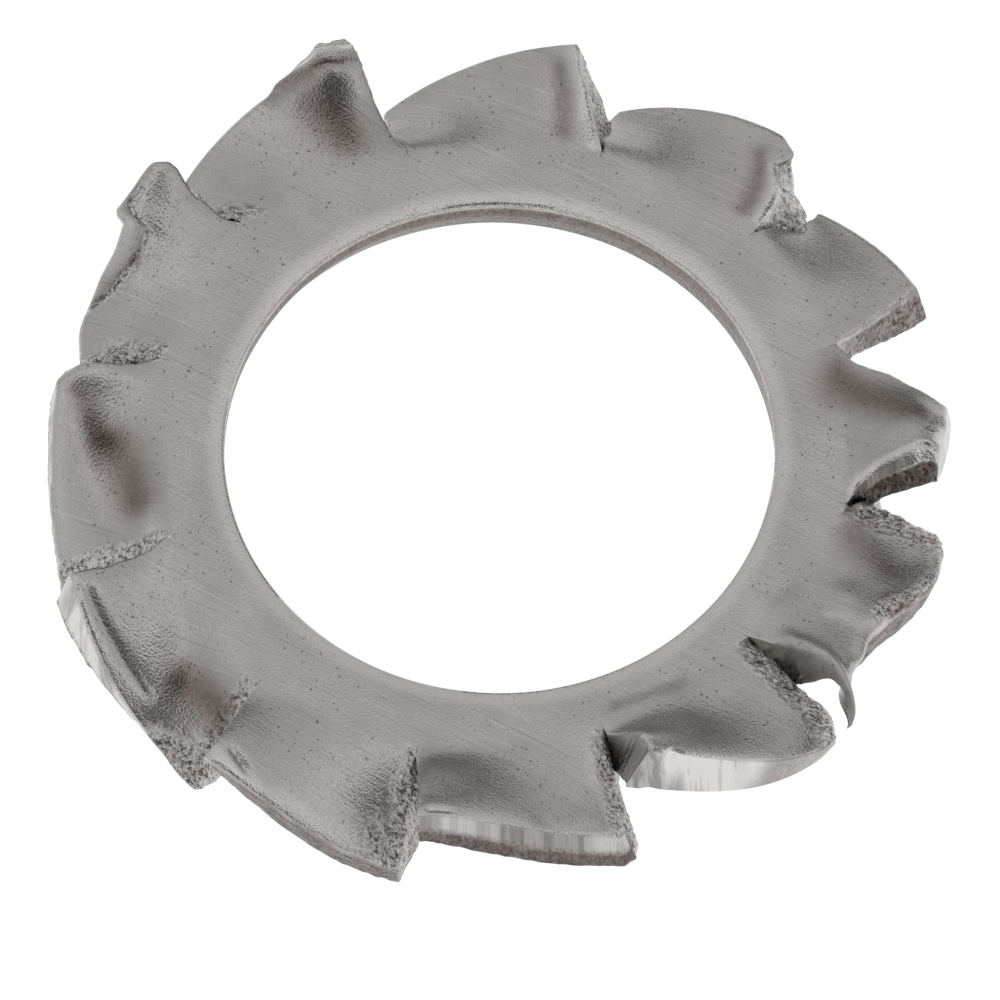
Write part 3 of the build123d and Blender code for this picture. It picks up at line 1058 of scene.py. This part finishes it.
# %% Node helper
class Nodes:
    """Adds and wires the nodes of one material or world."""

    def __init__(self, owner):
        owner.use_nodes = True
        self.tree = owner.node_tree
        self.tree.nodes.clear()

    def add(self, kind, inputs=None, **settings):
        """A new node, with its settings made and its inputs linked or set."""
        node = self.tree.nodes.new(kind)
        for word, value in settings.items():
            setattr(node, word, value)
        for word, value in (inputs or {}).items():
            if isinstance(value, bpy.types.NodeSocket):
                self.tree.links.new(value, node.inputs[word])
            else:
                node.inputs[word].default_value = value
        return node

    def maths(self, kind, a, b):
        """Two values put together by one step of arithmetic."""
        return self.add("ShaderNodeMath", {0: a, 1: b}, operation=kind).outputs[0]

    def remap(self, value, low, high, new_low=0.0, new_high=1.0):
        """A value carried from one range to another, and kept inside it."""
        ranges = {0: value, 1: low, 2: high, 3: new_low, 4: new_high}
        return self.add("ShaderNodeMapRange", ranges).outputs[0]

    def blend(self, share, a, b, kind="MIX"):
        """Two colours blended. A Mix node has its colours on inputs 6 and 7."""
        mix = self.add("ShaderNodeMix", {0: share, 6: a, 7: b}, data_type="RGBA", blend_type=kind)
        return mix.outputs[2]

    def vectors(self, kind, a, b, output=0):
        """Two vectors put together."""
        return self.add("ShaderNodeVectorMath", {0: a, 1: b}, operation=kind).outputs[output]

    def noise(self, vector, scale, detail, coarse=0.5, flat="2D"):
        """A noise value. Flat noise runs straight down through the metal."""
        inputs = {"Vector": vector, "Scale": scale, "Detail": detail, "Roughness": coarse}
        return self.add("ShaderNodeTexNoise", inputs, noise_dimensions=flat).outputs["Fac"]


print("node helper is ready")

# %% [markdown]
# ## Steel: where the pattern lies
#
# The finish is placed by Object coordinates, in millimetres, so it is fixed
# in the metal and needs no unwrapping. The whole pattern is turned, because
# the strip ran through the rolls askew to the washer. Beside it, the marks
# are read from the mesh.

# %% Coordinates and marks
GRAIN_TURN = radians(29)    # the way the strip ran through the rolls
PER_METRE = (1000, 1000, 1000)

steel = bpy.data.materials.new("worn_spring_steel")
nodes = Nodes(steel)
object_place = nodes.add("ShaderNodeTexCoord").outputs["Object"]
turned_mm = {"Vector": object_place, "Scale": PER_METRE, "Rotation": (0, 0, GRAIN_TURN)}
in_mm = nodes.add("ShaderNodeMapping", turned_mm).outputs[0]


def mark(word):
    """A value that the points of the mesh carry."""
    return nodes.add("ShaderNodeAttribute", attribute_name=word).outputs["Fac"]


# the second mark brings stains and painted shade, the last worn shine and painted highlights
torn, shade_and_stain, wall, rim = mark("torn"), mark("shade_and_stain"), mark("wall"), mark("rim")
print("grain turned by", round(GRAIN_TURN * 180 / pi), "degrees")

# %% [markdown]
# ## Steel: grain, scratches and clouds
#
# Rolled strip has fine lines that all run one way. Noise that is squeezed
# across the lines and long along them looks like that. The same trick with
# only the peaks kept gives single scratches, light and dark. Soft clouds and
# fine specks break up the rest.

# %% Rolled patterns
def lines(along, across, offset, detail, coarse):
    """Noise drawn out into lines: how fine it is along and across them, per mm."""
    drawn = {"Vector": in_mm, "Scale": (along, across, along), "Location": (offset, offset, 0)}
    return nodes.noise(nodes.add("ShaderNodeMapping", drawn).outputs[0], 1.0, detail, coarse)


grain = lines(1.6, 42, 0.0, 2.0, 0.6)
scratch = nodes.remap(lines(0.8, 30, 9.0, 1.0, 0.4), 0.68, 0.74)
dark_scratch = nodes.remap(lines(0.7, 36, 21.0, 1.0, 0.4), 0.69, 0.75)
cloud = nodes.noise(in_mm, 1.1, 2.0, 0.55)
speck = nodes.noise(in_mm, 34.0, 1.0, 0.6, "3D")
print("nodes so far:", len(nodes.tree.nodes))

# %% [markdown]
# ## Steel: torn metal
#
# Torn metal is a field of crumbs. Noise gives their mixed sizes and Voronoi
# cells their rounded tops. Both are drawn out a little in height, because the
# metal was torn downwards.

# %% Crumbs
UPRIGHT = (1, 1, 0.45)      # crumbs are about twice as high as they are wide

upright = nodes.add("ShaderNodeMapping", {"Vector": in_mm, "Scale": UPRIGHT}).outputs[0]
rubble = nodes.noise(upright, 19.0, 3.0, 0.8, "3D")
crumbs = nodes.add("ShaderNodeTexVoronoi", {"Vector": upright, "Scale": 18.0}, feature="F1")
lumps = crumbs.outputs["Distance"]
print("nodes so far:", len(nodes.tree.nodes))

# %% [markdown]
# ## Steel: pits
#
# Small corrosion pits are scattered over the faces, denser in some areas. A
# Voronoi texture gives each cell a distance from its middle and a colour of
# its own. The colour chooses which cells hold a pit and how large it is, and
# a little noise on the coordinates keeps the pits from being perfectly round.

# %% Pits
CELLS_PER_MM = 15.0
WOBBLE = 0.05               # how far a pit's outline is shaken, mm
RARE, CROWDED = 0.98, 0.22  # share of cells without a pit, and how much less in crowded areas
SMALLEST, LARGEST = 0.05, 0.20  # reach of a pit, in cells


def shaken():
    """Coordinates with a small unevenness."""
    colours = nodes.add("ShaderNodeTexNoise", {"Vector": in_mm, "Scale": 30.0, "Detail": 1.0},
                        noise_dimensions="2D").outputs["Color"]
    shift = nodes.add("ShaderNodeVectorMath", {0: colours, 3: WOBBLE}, operation="SCALE")
    return nodes.vectors("ADD", in_mm, shift.outputs[0])


def pits():
    """1 inside a pit and 0 elsewhere."""
    cells = nodes.add("ShaderNodeTexVoronoi", {"Vector": shaken(), "Scale": CELLS_PER_MM, "Randomness": 1.0},
                      feature="F1", voronoi_dimensions="2D").outputs
    chance = nodes.add("ShaderNodeSeparateColor", {0: cells["Color"]}).outputs
    crowd = nodes.remap(nodes.noise(in_mm, 0.9, 1.0), 0.42, 0.62)
    limit = nodes.maths("SUBTRACT", RARE, nodes.maths("MULTIPLY", crowd, CROWDED))
    wanted = nodes.maths("GREATER_THAN", chance[0], limit)
    reach = nodes.remap(chance[1], 0.0, 1.0, SMALLEST, LARGEST)
    return nodes.maths("MULTIPLY", nodes.maths("LESS_THAN", cells["Distance"], reach), wanted)


pit = pits()
print("nodes so far:", len(nodes.tree.nodes))

# %% [markdown]
# ## Steel: colour of the rolled faces
#
# Bare spring steel is a warm mid grey. Each pattern is laid over the last as
# a thin blend, from the broadest to the smallest: clouds, grain, specks,
# scratches and pits. No layer is strong, and together they read as metal.

# %% Rolled faces
DARK_CLOUD, PALE_CLOUD = (0.50, 0.482, 0.466, 1), (0.56, 0.544, 0.526, 1)
GRAIN_LINE = (0.30, 0.28, 0.27, 1)
SPECK = (0.36, 0.34, 0.325, 1)
FRESH_SCRATCH, OLD_SCRATCH = (0.72, 0.70, 0.68, 1), (0.28, 0.26, 0.25, 1)
PIT = (0.14, 0.11, 0.10, 1)


def rolled_colour():
    """Colour of the rolled faces, with their grain, scratches and pits."""
    face = nodes.blend(nodes.remap(cloud, 0.35, 0.65), DARK_CLOUD, PALE_CLOUD)
    face = nodes.blend(nodes.remap(grain, 0.30, 0.70), nodes.blend(0.12, face, GRAIN_LINE), face)
    face = nodes.blend(nodes.maths("MULTIPLY", nodes.remap(speck, 0.52, 0.70), 0.45), face, SPECK)
    face = nodes.blend(nodes.maths("MULTIPLY", scratch, 0.30), face, FRESH_SCRATCH)
    face = nodes.blend(nodes.maths("MULTIPLY", dark_scratch, 0.35), face, OLD_SCRATCH)
    return nodes.blend(nodes.maths("MULTIPLY", pit, 0.75), face, PIT)


rolled = rolled_colour()
print("nodes so far:", len(nodes.tree.nodes))

# %% [markdown]
# ## Steel: burnished, lightened and torn metal
#
# A sheared wall is burnished in upright bands, pale where the blade polished
# it and dark where it dragged. Flat noise gives such bands by itself, because
# it doesn't change with height. The hole's rim and the bright spots are
# lightened, as wear and as painted highlights, and the torn mark brings in the
# crumbs, with painted shade in their gaps and painted glints on their tops.

# %% Walls, rims and crumbs
DARK_BAND, PALE_BAND = (0.30, 0.29, 0.28, 1), (0.88, 0.87, 0.85, 1)
# lighter colour of worn spots and painted highlights
HIGHLIGHT_AND_WEAR_COLOUR = (0.72, 0.695, 0.67, 1)
# crumbs: painted shade in the gaps, painted glints on the tops
CRUMB_GAP_SHADE, CRUMB_TOP_GLINT = (0.17, 0.145, 0.13, 1), (0.84, 0.82, 0.80, 1)


def sheared_colour(face):
    """A face's colour, with bands on the walls, rims and spots lightened as wear and painted highlights, and
    torn metal.
    """
    bands = nodes.blend(nodes.remap(nodes.noise(in_mm, 1.7, 1.0), 0.43, 0.55), DARK_BAND, PALE_BAND)
    clean = nodes.blend(nodes.maths("MULTIPLY", wall, 0.8), face, bands)
    # painted highlights and worn shine, on the bright spots and the hole's rim
    bright = nodes.maths("MINIMUM", nodes.maths("MULTIPLY", rim, 0.6), 1.0)
    clean = nodes.blend(bright, clean, HIGHLIGHT_AND_WEAR_COLOUR)
    # torn metal, with painted shade in the gaps and painted glints on the tops, from the same noise as the
    # crumbs' relief
    broken = nodes.blend(nodes.remap(rubble, 0.41, 0.51), CRUMB_GAP_SHADE, CRUMB_TOP_GLINT)
    return nodes.blend(torn, clean, broken)


sheared = sheared_colour(rolled)
print("nodes so far:", len(nodes.tree.nodes))

# %% [markdown]
# ## Steel: grooves, streaks, painted shade and stains
#
# The blade also left fine dark grooves and light streaks down the walls. They
# are laid over burnished and torn metal alike. The dark brown comes last of all
# and thins out over the crumbs: painted shade in hollows and creases of the
# teeth, stains on torn skin, and darker walls, outer faces and hole.

# %% Grooves, streaks, painted shade and stains
GROOVE, STREAK = (0.25, 0.235, 0.225, 1), (0.78, 0.76, 0.74, 1)
# one brown for painted shade and for the stains and darker walls
SHADE_AND_STAIN_COLOUR = (0.10, 0.065, 0.055, 1)
LINE_STRENGTH = 0.40        # of a groove or a streak


def lined_and_shaded_colour(metal):
    """The colour of the metal, with grooves, streaks, painted shade and stains over it."""
    streak = nodes.remap(nodes.noise(in_mm, 9.0, 2.0, 0.6), 0.46, 0.60)
    groove = nodes.remap(nodes.noise(in_mm, 6.5, 2.0, 0.6), 0.44, 0.38)
    walls_only = nodes.remap(wall, 0.6, 1.0)
    for pattern, colour in ((groove, GROOVE), (streak, STREAK)):
        share = nodes.maths("MULTIPLY", nodes.maths("MULTIPLY", walls_only, pattern), LINE_STRENGTH)
        metal = nodes.blend(share, metal, colour)
    # painted shade and stains, a little thinner over the crumbs
    shade_and_stain_share = nodes.maths("MULTIPLY", shade_and_stain, nodes.remap(rubble, 0.30, 0.62, 1.0, 0.8))
    return nodes.blend(shade_and_stain_share, metal, SHADE_AND_STAIN_COLOUR)


colour = lined_and_shaded_colour(sheared)
print("nodes so far:", len(nodes.tree.nodes))

# %% [markdown]
# ## Steel: gloss and relief
#
# The grain changes the gloss a little, and torn metal is slightly duller.
# Bump gives the relief that is too fine for the mesh: grain, specks and pits
# on the faces, and crumbs where the metal is torn. Its distance is set to one
# millimetre, so that all heights below are in millimetres.

# %% Gloss, relief and the finished steel
GRAIN_HEIGHT, WALL_HEIGHT = 0.0016, 0.004   # of the grain, and added on walls, mm
PIT_DEPTH = 0.006
SPECK_HEIGHT = 0.0065
RUBBLE_HEIGHT, LUMP_HEIGHT = 0.045, 0.03


def gloss():
    """Roughness of the surface."""
    return nodes.maths("ADD", nodes.remap(grain, 0.25, 0.75, 0.20, 0.30), nodes.maths("MULTIPLY", torn, 0.03))


def relief():
    """Bumps from the fine heights of the faces and the crumbs of torn metal."""
    grain_height = nodes.maths("ADD", GRAIN_HEIGHT, nodes.maths("MULTIPLY", wall, WALL_HEIGHT))
    fine = nodes.maths("MULTIPLY", grain, grain_height)
    fine = nodes.maths("SUBTRACT", fine, nodes.maths("MULTIPLY", pit, PIT_DEPTH))
    fine = nodes.maths("ADD", fine, nodes.maths("MULTIPLY", speck, SPECK_HEIGHT))
    coarse = nodes.maths("ADD", nodes.maths("MULTIPLY", rubble, RUBBLE_HEIGHT),
                         nodes.maths("MULTIPLY", lumps, LUMP_HEIGHT))
    height = nodes.add("ShaderNodeMix", {0: torn, 2: fine, 3: coarse}, data_type="FLOAT").outputs[0]
    return nodes.add("ShaderNodeBump", {"Height": height, "Distance": MM, "Strength": 1.0}).outputs[0]


shader = nodes.add("ShaderNodeBsdfPrincipled", {"Base Color": colour, "Roughness": gloss(),
                                                "Normal": relief(), "Metallic": 1.0})
nodes.add("ShaderNodeOutputMaterial", {"Surface": shader.outputs[0]})
washer.data.materials.append(steel)
print("steel has", len(nodes.tree.nodes), "nodes")

# %% [markdown]
# ## The floor
#
# The washer lies on plain white paper. For the camera, and through glass, the
# paper glows white, with a little plain paper mixed in that keeps the soft
# shadow. In the steel it is mirrored too, and less brightly further back,
# as paper is that curves away from the light. The studio's light lights it as usual.

# %% Paper
FLOOR_SIZE = 0.6            # m
PAPER = (0.8, 0.8, 0.8, 1)
GLOW = 1.12                 # strength of the white
GLOW_SHARE = 0.88           # the rest is plain paper, with the shadow on it
MIRROR_FROM, MIRROR_TO = 0.0045, 0.0085     # from front to back, in m
MIRROR_FRONT, MIRROR_BACK = 0.75, 0.35      # share of the white seen in the steel


def paper_finish(nodes):
    """White to the camera and in reflections, plain paper to the light."""
    path = nodes.add("ShaderNodeLightPath").outputs
    place = nodes.add("ShaderNodeTexCoord").outputs["Object"]
    depth = nodes.add("ShaderNodeSeparateXYZ", {0: place}).outputs["Y"]
    strength = nodes.remap(depth, MIRROR_FROM, MIRROR_TO, MIRROR_FRONT, MIRROR_BACK)
    mirrored = nodes.maths("MULTIPLY", path["Is Glossy Ray"], strength)
    seen = nodes.maths("MAXIMUM", path["Is Camera Ray"], path["Is Transmission Ray"])
    share = nodes.maths("MULTIPLY", nodes.maths("MAXIMUM", seen, mirrored), GLOW_SHARE)
    matt = nodes.add("ShaderNodeBsdfDiffuse", {"Color": PAPER}).outputs[0]
    white = nodes.add("ShaderNodeEmission", {"Strength": GLOW}).outputs[0]
    mix = nodes.add("ShaderNodeMixShader", {0: share, 1: matt, 2: white}).outputs[0]
    nodes.add("ShaderNodeOutputMaterial", {0: mix})


floor_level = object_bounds()[0].z
bpy.ops.mesh.primitive_plane_add(size=FLOOR_SIZE, location=(0, 0, floor_level))
floor = bpy.context.object
floor.name = "floor"
paper = bpy.data.materials.new("white_paper")
paper_finish(Nodes(paper))
floor.data.materials.append(paper)
print("floor at z", round(floor_level / MM, 2), "mm")

# %% [markdown]
# ## The camera
#
# A small part is best shown from far away through a long lens, which keeps
# its ring free of perspective. The camera looks down steeply from the front.
# Its lens is worked out from how large a millimetre has to appear, with a
# picture 1000 pixels wide.

# %% Camera
ELEVATION = radians(62.0)   # above the ring's plane
PIXELS_PER_MM = 84.7
PICTURE = 1000              # pixels across
SENSOR = 36                 # width of the camera's sensor, mm
AWAY = 300                  # mm from the washer
back = Vector((0, -cos(ELEVATION), sin(ELEVATION)))
rise = Vector((0, sin(ELEVATION), cos(ELEVATION)))
aim = (Vector((0.006, 0, 0.25)) - rise * 0.585) * MM    # the middle of the view

camera_data = bpy.data.cameras.new("camera")
camera = bpy.data.objects.new("camera", camera_data)
bpy.context.collection.objects.link(camera)
camera.location = aim + back * (AWAY * MM)
camera.rotation_mode = "QUATERNION"
camera.rotation_quaternion = (-back).to_track_quat("-Z", "Y")
camera_data.sensor_width = SENSOR
camera_data.lens = PIXELS_PER_MM * AWAY * SENSOR / PICTURE
camera_data.clip_start, camera_data.clip_end = 0.01, 5
bpy.context.scene.camera = camera
bpy.context.scene.view_settings.view_transform = "Standard"
print("lens", round(camera_data.lens), "mm")

# %% [markdown]
# ## Studio light
#
# Metal shows what is around it, so the studio is a world with a few soft
# areas rather than lamps. A plain pale dome lights everything. Low down at the
# back right it darkens, which gives the turned faces their contrast. A
# brighter ring round the camera's side and a darker middle, like a tent with
# a hole for the lens, shape the faces that look at the viewer.

# %% World
DOME, DARK_PATCH = (0.61, 0.61, 0.61, 1), (0.10, 0.10, 0.10, 1)
PATCH_SIDE = (0.45, 0.89, 0.0)      # direction of the dark patch
HOLE_SIDE = (back + Vector((0.09, 0, 0))).normalized()      # direction of the tent's hole


def lit_dome(nodes, where):
    """The pale dome with its dark patch, low on one side."""
    height = nodes.add("ShaderNodeSeparateXYZ", {0: where}).outputs["Z"]
    low = nodes.remap(height, 0.15, 0.40, 1.0, 0.0)
    side = nodes.remap(nodes.vectors("DOT_PRODUCT", where, PATCH_SIDE, "Value"), 0.58, 0.88)
    return nodes.blend(nodes.maths("MULTIPLY", low, side), DOME, DARK_PATCH)


def tent(nodes, where):
    """Light of the tent: brighter in a ring, darker at the hole in its middle."""
    facing = nodes.vectors("DOT_PRODUCT", where, HOLE_SIDE, "Value")
    glow = nodes.remap(facing, 0.60, 0.80, 1.0, 1.55)
    return nodes.maths("MULTIPLY", glow, nodes.remap(facing, 0.83, 0.97, 1.0, 0.08))


world = bpy.data.worlds.new("studio")
bpy.context.scene.world = world
studio = Nodes(world)
where = studio.add("ShaderNodeTexCoord").outputs["Generated"]
light = studio.blend(1.0, lit_dome(studio, where), tent(studio, where), "MULTIPLY")
sky = studio.add("ShaderNodeBackground", {0: light})
studio.add("ShaderNodeOutputWorld", {0: sky.outputs[0]})
print("studio has", len(studio.tree.nodes), "nodes")
